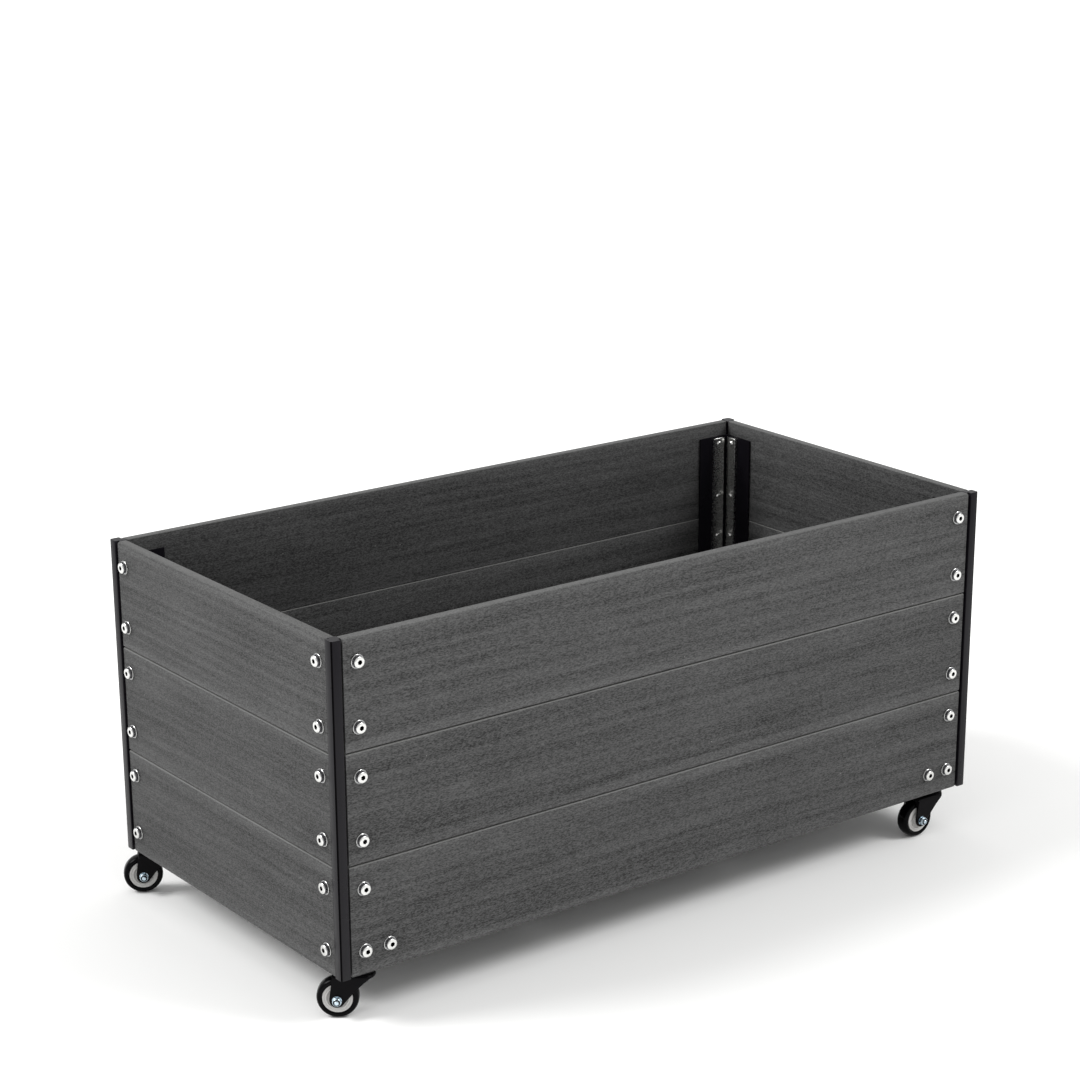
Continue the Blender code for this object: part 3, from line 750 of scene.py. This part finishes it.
axleShape = {  # heights from the wheel's middle plane
    "seat": 0.0143,
    "stub": 0.0219,
    "nutRadius": 0.0058,
    "rodRadius": 0.0030,
    "headEnd": -0.0184,
    "insertRadius": 0.0043,
    "segments": 36,
}
wheelShape = {  # half profiles as (radius, height), which are mirrored about the wheel's middle plane
    "tyre": [(0.0181, -0.0060), (0.0181, -0.0078), (0.0190, -0.0084), (0.0205, -0.0090), (0.0220, -0.0088),
             (0.0233, -0.0080), (0.0242, -0.0064), (0.0248, -0.0046), (0.0250, -0.0020)],
    "hub": [(0.0034, -0.0110), (0.0066, -0.0110), (0.0070, -0.0106), (0.0074, -0.0064), (0.0080, -0.0058),
            (0.0112, -0.0058), (0.0118, -0.0062), (0.0124, -0.0078), (0.0130, -0.0082), (0.0140, -0.0080),
            (0.0146, -0.0076), (0.0152, -0.0080), (0.0172, -0.0082), (0.0178, -0.0078)],
    "segments": 96,
}


def forkEdge():  # (a, height) points along the free edge, from the front of the lip round the eye to its back
    size = casterShape
    lip = size["crownTop"] - size["lip"]
    edge = [(-size["crownRadius"], lip), (-0.0125, lip), (-0.0095, lip - 0.0003), (-0.0042, -0.0138),
            (0.0014, -0.0190), (0.0062, -0.0238), (0.0105, -0.0285), (0.0155, -0.0345), (0.0200, -0.0400)]
    edge += arcPoints(size["trail"], -size["axleDrop"], size["eyeRadius"], 205, 370, 14)
    dense = []
    for start, end in zip(edge, edge[1:]):
        steps = max(1, round(math.dist(start, end) / 0.002))
        dense += [(start[0] + (end[0] - start[0]) * i / steps, start[1] + (end[1] - start[1]) * i / steps)
                  for i in range(steps)]
    return dense + [edge[-1]]


def forkSkin(inset):  # half a section at each station of the free edge, inset from the outer skin
    size = casterShape
    crown, half, radius = size["crownTop"] - inset, size["halfWidth"] - inset, size["crownRadius"] - inset
    bend, back = size["bend"] - inset, size["crownBack"]

    def halfWidth(a):
        return half if a >= 0 else min(half, math.sqrt(max(radius ** 2 - a ** 2, 0.0)))

    edge = forkEdge()
    total = sum(math.dist(start, end) for start, end in zip(edge, edge[1:]))
    done, stations = 0.0, []
    for i, (a, b) in enumerate(edge):
        done += math.dist(edge[i - 1], edge[i]) if i else 0.0
        a = max(a, -radius)
        topA = -radius + (back + radius) * min(1.0, done / total * 1.12)
        column = []
        for step in range(9):  # up the cheek
            here = a + (topA - a) * step / 8
            column.append(Vector((here, halfWidth(here), b + (crown - bend - b) * step / 8)))
        wide = halfWidth(topA)
        soft = min(bend, wide)
        for step in range(1, 6):  # round the bend
            turn = math.radians(90 * step / 5)
            column.append(Vector((topA, wide - soft + soft * math.cos(turn), crown - bend + bend * math.sin(turn))))
        column += [Vector((topA, (wide - soft) * share, crown)) for share in (0.66, 0.33, 0.0)]
        stations.append(column)
    return stations


def addFlange(outer, inner):  # the sheet's trailing edge turned inwards, deepest at the crown
    size = casterShape
    crown, half, hang = size["crownTop"], size["halfWidth"], size["crownFlange"]
    rims = [[], [], [], []]
    for skin, under in zip(outer[-1], inner[-1]):
        share = min(1.0, max(0.0, 1 - (crown - skin.z) / size["flangeFall"]))
        depth = size["flangeFoot"] + (size["flangeTop"] - size["flangeFoot"]) * share
        inY = max(0.0, min(skin.y - 0.0004, half - depth))
        onTop = skin.z > crown - size["bend"] * 0.5
        inZ = max(skin.z - depth, crown - hang) if onTop else skin.z - 0.0001 * (skin.z > crown - 0.006)
        rims[0].append(Vector((skin.x + 0.0003, skin.y - 0.0002 if not onTop else skin.y, skin.z - 0.0002)))
        rims[1].append(Vector((skin.x + 0.0004, inY if not onTop else min(skin.y, half - hang), inZ)))
        rims[2].append(rims[1][-1] - Vector((0.0016, 0, 0)))
        rims[3].append(Vector((skin.x - 0.0008, under.y, under.z)))
    outer += rims[:2]
    inner[-1] = rims[3]
    inner.append(rims[2])


def makeForkMesh():
    outer, inner = forkSkin(0.0), forkSkin(casterShape["sheet"])
    addFlange(outer, inner)
    shape = bmesh.new()

    def wholeRing(column):
        ring = [shape.verts.new(p) for p in column]
        return ring + [shape.verts.new((p.x, -p.y, p.z)) for p in reversed(column[:-1])]

    outerRings = [wholeRing(column) for column in outer]
    innerRings = [wholeRing(column) for column in inner]
    for rings, flip in ((outerRings, False), (innerRings, True)):
        for lower, upper in zip(rings, rings[1:]):
            for i in range(len(lower) - 1):
                face = (lower[i], upper[i], upper[i + 1], lower[i + 1])
                shape.faces.new(face[::-1] if flip else face)
    for end in (0, -1):  # the free edge on both cheeks
        skin = [ring[end] for ring in outerRings]
        under = [ring[end] for ring in innerRings]
        under += [under[-1]] * (len(skin) - len(under))
        for i in range(len(skin) - 1):
            around = (skin[i], skin[i + 1], under[i + 1], under[i])
            shape.faces.new([v for n, v in enumerate(around) if v not in around[:n]])
    for i in range(len(outerRings[-1]) - 1):  # the flange's end
        shape.faces.new((outerRings[-1][i], innerRings[-1][i], innerRings[-1][i + 1], outerRings[-1][i + 1]))
    bmesh.ops.remove_doubles(shape, verts=shape.verts, dist=0.00002)
    bmesh.ops.dissolve_degenerate(shape, dist=0.00001, edges=shape.edges)
    return meshFrom(shape, "fork")


def casterPlace(corner, spins):  # the caster frame in space; spins turns it with the trail
    pivot = Vector(joints[f"caster_swivel_{corner}"]["pos_m"])
    axle = Vector(joints[f"wheel_spin_{corner}"]["pos_m"])
    turn = math.atan2(axle.y - pivot.y, axle.x - pivot.x) if spins else 0.0
    return Matrix.Translation(pivot) @ Matrix.Rotation(turn, 4, "Z")


def axlePlace(corner):  # +Z along the axle towards its nut
    toAxle = Matrix.Translation((casterShape["trail"], 0, -casterShape["axleDrop"]))
    return casterPlace(corner, True) @ toAxle @ Matrix.Rotation(math.radians(-90), 4, "X")


def makeFork(corner):
    shell = addObject(makeForkMesh(), "forkShell")
    soft = shell.modifiers.new("soft", "BEVEL")
    soft.width, soft.segments = casterShape["edgeSoft"], 2
    soft.limit_method, soft.angle_limit = "ANGLE", math.radians(60)
    mesh = bakedMesh(shell, camelName("casterFork", corner))
    bpy.data.objects.remove(shell)
    smoothMesh(mesh)
    mesh.transform(casterPlace(corner, True))
    placePiece(mesh, blackPaint, f"swivel_{corner}", [f"caster_fork_{corner}"])


def makeCasterTop(corner):
    size = plateShape
    wide, high, lip, chamfer = size["radius"], size["top"], size["lip"], size["chamfer"]
    low = high - size["thick"]
    profile = [(0, high), (wide - lip, high)] + arcPoints(wide - lip, high - lip, lip, 90, 0, 4)[1:]
    profile += [(wide, low + chamfer), (wide - chamfer, low)]
    profile += [(radius, low + rise) for radius, rise in size["underside"]] + size["kingpin"]
    shape = bmesh.new()
    latheProfile(shape, profile, size["segments"])
    mesh = meshFrom(shape, camelName("casterTop", corner))
    mesh.transform(casterPlace(corner, False))
    placePiece(mesh, blackPaint, "planter", [f"caster_plate_{corner}"])


raceShape = {
    "ringInner": 0.0098,
    "ringOuter": 0.0148,
    "low": -0.0061,
    "high": -0.0031,
    "cup": 0.0007,  # thickness of each ring
    "chamfer": 0.0002,
    "segments": 48,
    "ballRadius": 0.00075,
    "ballCircle": 0.0128,
    "balls": 26,
}


def makeBallTree():  # balls spaced evenly on a circle
    tree = bpy.data.node_groups.new("ballRing", "GeometryNodeTree")
    tree.is_modifier = True
    sockets = {}
    for name, kind in (("Balls", "Int"), ("Circle Radius", "Float"), ("Ball Radius", "Float"), ("Height", "Float"),
                       ("Finish", "Material")):
        sockets[name] = tree.interface.new_socket(name, in_out="INPUT", socket_type="NodeSocket" + kind).identifier
    tree.interface.new_socket("Geometry", in_out="OUTPUT", socket_type="NodeSocketGeometry")
    given = addNode(tree, "NodeGroupInput").outputs
    circle = addNode(tree, "GeometryNodeMeshCircle", inputs={
        "Vertices": given["Balls"], "Radius": given["Circle Radius"]})
    lift = addNode(tree, "ShaderNodeCombineXYZ", inputs={"Z": given["Height"]})
    raised = addNode(tree, "GeometryNodeSetPosition", inputs={
        "Geometry": circle.outputs["Mesh"], "Offset": lift.outputs["Vector"]})
    ball = addNode(tree, "GeometryNodeMeshUVSphere", inputs={
        "Segments": 10, "Rings": 6, "Radius": given["Ball Radius"]})
    placed = addNode(tree, "GeometryNodeInstanceOnPoints", inputs={
        "Points": raised.outputs["Geometry"], "Instance": ball.outputs["Mesh"]})
    real = addNode(tree, "GeometryNodeRealizeInstances", inputs={"Geometry": placed.outputs["Instances"]})
    coated = addNode(tree, "GeometryNodeSetMaterial", inputs={
        "Geometry": real.outputs["Geometry"], "Material": given["Finish"]})
    addNode(tree, "NodeGroupOutput", inputs={"Geometry": coated.outputs["Geometry"]})
    return tree, sockets


def makeRace(corner, tree, sockets):
    size = raceShape
    shape = bmesh.new()
    inner, outer, cup, chamfer = size["ringInner"], size["ringOuter"], size["cup"], size["chamfer"]
    for low, high in ((size["low"], size["low"] + cup), (size["high"] - cup, size["high"])):
        ring = [(inner, low), (outer - chamfer, low), (outer, low + chamfer), (outer, high - chamfer),
                (outer - chamfer, high), (inner, high)]
        latheProfile(shape, ring, size["segments"], closed=True)
    rings = meshFrom(shape, "rings")
    # the steel balls take the fork's black paint: painted shade for the shadow under the plate
    balls = runTree(tree, sockets, {
        "Balls": size["balls"], "Circle Radius": size["ballCircle"], "Ball Radius": size["ballRadius"],
        "Height": (size["low"] + size["high"]) / 2, "Finish": blackPaint}, "balls")
    smoothMesh(balls, 60)
    both = bmesh.new()
    both.from_mesh(rings)
    both.from_mesh(balls)
    mesh = bpy.data.meshes.new(camelName("swivelRace", corner))
    both.to_mesh(mesh)
    both.free()
    mesh.transform(casterPlace(corner, True))
    # the steel rings take the black paint too: painted shade for the shadow under the plate
    placePiece(mesh, blackPaint, f"swivel_{corner}", [f"swivel_race_{corner}"])


def makeAxle(corner):
    size = axleShape
    seat, stub, nut, rod = size["seat"], size["stub"], size["nutRadius"], size["rodRadius"]
    headEnd, insert = size["headEnd"], size["insertRadius"]
    shape = bmesh.new()
    profile = [  # up the head, along the rod, over the washer and the nut, and up the stub
        (0, headEnd), (0.0046, headEnd), (nut - 0.0002, headEnd + 0.0006, 6), (nut, headEnd + 0.0010, 6),
        (nut, -seat - 0.0002, 6), (nut - 0.0003, -seat, 6), (rod, -seat), (rod, seat), (0.0056, seat),
        (0.0058, seat + 0.0002), (0.0058, seat + 0.0007), (nut - 0.0003, seat + 0.0008, 6), (nut, seat + 0.0012, 6),
        (nut, seat + 0.0038, 6), (0.0053, seat + 0.0043), (0.0050, seat + 0.0046), (0.0049, seat + 0.0056),
        (0.0046, seat + 0.0060), (insert, seat + 0.0060), (0.0042, seat + 0.0052), (rod - 0.0004, seat + 0.0051),
        (rod - 0.0004, stub - 0.0006), (rod - 0.0010, stub), (0, stub),
    ]
    latheProfile(shape, profile, size["segments"])
    mesh = meshFrom(shape, camelName("axleBolt", corner), 30)
    mesh.materials.append(blueZinc)
    mesh.materials.append(insertNylon)
    for face in mesh.polygons:  # the nut's locking insert is the recessed ring round the stub
        reach, height = math.hypot(*face.center[:2]), face.center.z
        face.material_index = 1 if rod < reach < insert and seat + 0.0050 < height < seat + 0.0061 else 0
    mesh.transform(axlePlace(corner))
    placePiece(mesh, None, f"swivel_{corner}", [f"axle_bolt_{corner}"])


def makeWheel(corner):
    for part, name, material, node in (("tyre", "tyre", blackTyre, "tyre"),
                                       ("hub", "wheelHub", paleNylon, "wheel_hub")):
        half = wheelShape[part]
        whole = half + [(radius, -height) for radius, height in reversed(half)]
        shape = bmesh.new()
        latheProfile(shape, whole, wheelShape["segments"], closed=True)
        mesh = meshFrom(shape, camelName(name, corner))
        mesh.transform(axlePlace(corner))
        placePiece(mesh, material, f"wheel_{corner}", [f"{node}_{corner}"])


ballTree, ballSockets = makeBallTree()
for corner in corners:
    makeCasterTop(corner)
    makeRace(corner, ballTree, ballSockets)
    makeFork(corner)
    makeAxle(corner)
    makeWheel(corner)
print("casters made")


# the frame's own nodes that stay

for nodeName, node in frame["nodes"].items():
    if node.hide_render:
        continue
    material = floorComposite if nodeName.startswith("floor_panel") else blackCoat
    if not node.material_slots:
        node.data.materials.append(material)
    for slot in node.material_slots:
        slot.material = material
print("kept nodes finished")


# studio

studio = {
    "floor": "FBFBFA",
    "floorReach": 60.0,  # far enough that its edge is never near the object
    "floorRoughness": 0.9,
    "world": "FFFFFF",
    "worldStrength": 0.75,
    "lensMm": 91.386,
    "sensorMm": 36.0,
    "cameraAt": (-2.01824, -2.66061, 1.43462),
    "cameraTurn": (70.6828, -0.0213, -37.7488),  # degrees about X, Y and Z
    "shift": (-0.04, 0.12),
    "softness": 24,  # degrees that each lamp spans, as a large soft box does
    "lights": {  # way the light comes from, and its strength
        "rightLamp": ((0.62, -0.62, 0.95), 1.3),
        "leftLamp": ((-0.75, 0.45, 0.85), 2.0),
    },
}


def addLight(name, source, strength):
    lamp = bpy.data.lights.new(name, "SUN")
    lamp.energy, lamp.angle = strength, math.radians(studio["softness"])
    light = bpy.data.objects.new(name, lamp)
    light.rotation_euler = (-Vector(source)).to_track_quat("-Z", "Y").to_euler()
    bpy.context.scene.collection.objects.link(light)


def makeStudio():
    scene = bpy.context.scene
    scene.view_settings.view_transform = "Standard"
    shape = bmesh.new()
    reach = studio["floorReach"]
    shape.faces.new([shape.verts.new((x * reach, y * reach, 0)) for x, y in ((-1, -1), (1, -1), (1, 1), (-1, 1))])
    floor = addObject(meshFrom(shape, "studioFloor"), "studioFloor")
    material, _, shader, _ = newMaterial("paleStudioFloor")
    setShader(shader, Base_Color=linearColour(studio["floor"]), Roughness=studio["floorRoughness"])
    floor.data.materials.append(material)
    world = bpy.data.worlds.new("studioWorld")
    world.use_nodes = True
    background = world.node_tree.nodes["Background"]
    background.inputs["Color"].default_value = linearColour(studio["world"])
    background.inputs["Strength"].default_value = studio["worldStrength"]
    scene.world = world
    for name, (source, strength) in studio["lights"].items():
        addLight(name, source, strength)
    camera = bpy.data.objects.new("studioCamera", bpy.data.cameras.new("studioCamera"))
    camera.data.lens, camera.data.sensor_width = studio["lensMm"], studio["sensorMm"]
    camera.data.shift_x, camera.data.shift_y = studio["shift"]
    camera.location = studio["cameraAt"]
    camera.rotation_euler = [math.radians(angle) for angle in studio["cameraTurn"]]
    scene.collection.objects.link(camera)
    scene.camera = camera


makeStudio()
bpy.context.view_layer.update()
print("studio made, finishing")
